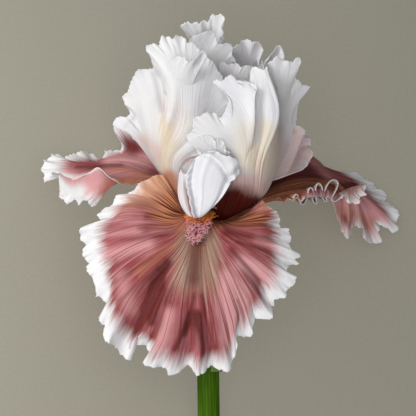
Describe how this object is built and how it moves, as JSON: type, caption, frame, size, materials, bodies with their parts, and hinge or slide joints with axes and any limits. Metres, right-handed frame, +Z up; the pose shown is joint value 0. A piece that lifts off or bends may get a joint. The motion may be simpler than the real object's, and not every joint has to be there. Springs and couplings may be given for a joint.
{
  "type": "bearded iris flower",
  "caption": "Cut bearded iris bloom with ruffled rose falls, white standards, rust beards and a green stem, lying on its back.",
  "frame": {"origin": "on the surface that the flower lies on, under the middle of its box", "axes": "+Z up from that surface, towards the viewer of the front fall; +Y along the stem towards the upright petals; +X to the right of the front fall"},
  "size_m": [0.1584, 0.2212, 0.0819],
  "materials": {
    "stem": "waxy satin green",
    "bract": "dry papery green",
    "fall": "velvety rose petal with white margin",
    "standard": "soft white petal",
    "style": "soft white petal",
    "beard": "short soft hairs",
    "stamen": "powdery cream"
  },
  "bodies": {
    "root": {"stem": "stem", "bract_outer": "bract", "bract_inner": "bract", "fall_front": "fall", "fall_left": "fall", "fall_right": "fall", "standard_left": "standard", "standard_right": "standard", "standard_back": "standard", "style_front": "style", "style_left": "style", "style_right": "style", "beard_front": "beard", "beard_left": "beard", "beard_right": "beard", "stamen_front": "stamen", "stamen_left": "stamen", "stamen_right": "stamen"}
  },
  "joints": []
}
